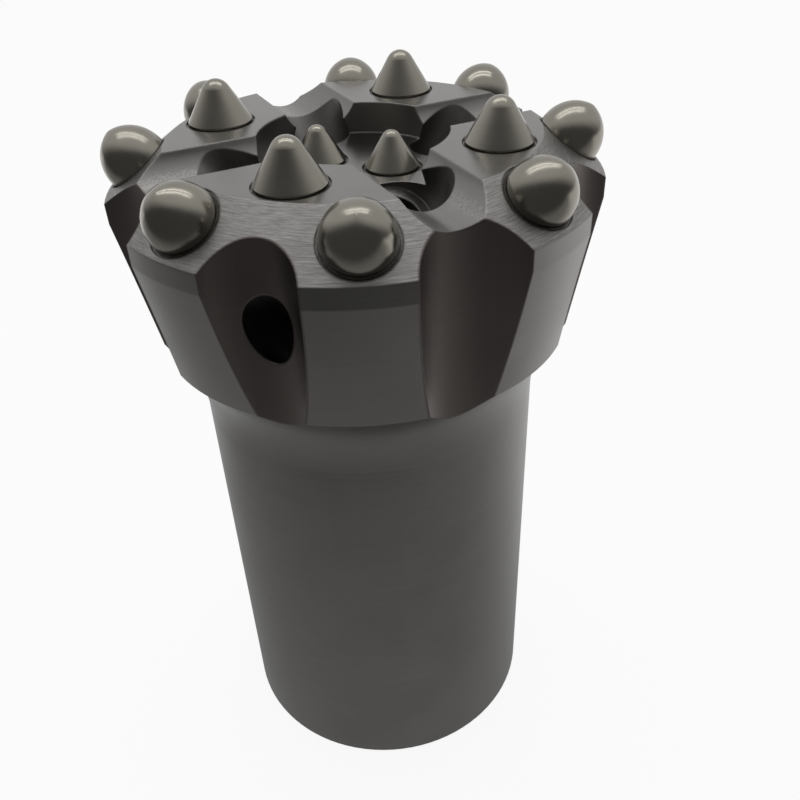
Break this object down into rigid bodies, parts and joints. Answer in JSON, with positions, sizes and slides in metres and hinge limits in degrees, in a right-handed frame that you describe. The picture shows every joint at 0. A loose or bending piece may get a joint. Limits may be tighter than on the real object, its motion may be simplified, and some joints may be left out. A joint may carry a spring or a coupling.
{
  "type": "button drill bit",
  "caption": "Threaded button drill bit for top-hammer rock drilling: a round steel skirt that widens to a fluted head with a dropped centre, flushing holes and pressed-in hard metal buttons.",
  "frame": {"origin": "on the bit's own axis, at the end of the skirt on which it stands", "axes": "+Z along the bit's axis from the skirt towards the working face, the side that the bit stands on being down; +Y away from the viewer and +X to the viewer's right, with a gauge button on -Y"},
  "size_m": [0.0886, 0.0886, 0.1437],
  "materials": {
    "steel": "turned and ground dark steel with a satin gloss and fine turning marks on the gauge",
    "hard_metal": "polished sintered tungsten carbide, warm grey and glossy"
  },
  "bodies": {
    "root": {"bit_body": "steel", "gauge_button_1": "hard_metal", "gauge_button_2": "hard_metal", "gauge_button_3": "hard_metal", "gauge_button_4": "hard_metal", "gauge_button_5": "hard_metal", "gauge_button_6": "hard_metal", "gauge_button_7": "hard_metal", "gauge_button_8": "hard_metal", "face_button_1": "hard_metal", "face_button_2": "hard_metal", "face_button_3": "hard_metal", "face_button_4": "hard_metal", "centre_button_1": "hard_metal", "centre_button_2": "hard_metal"}
  },
  "joints": []
}
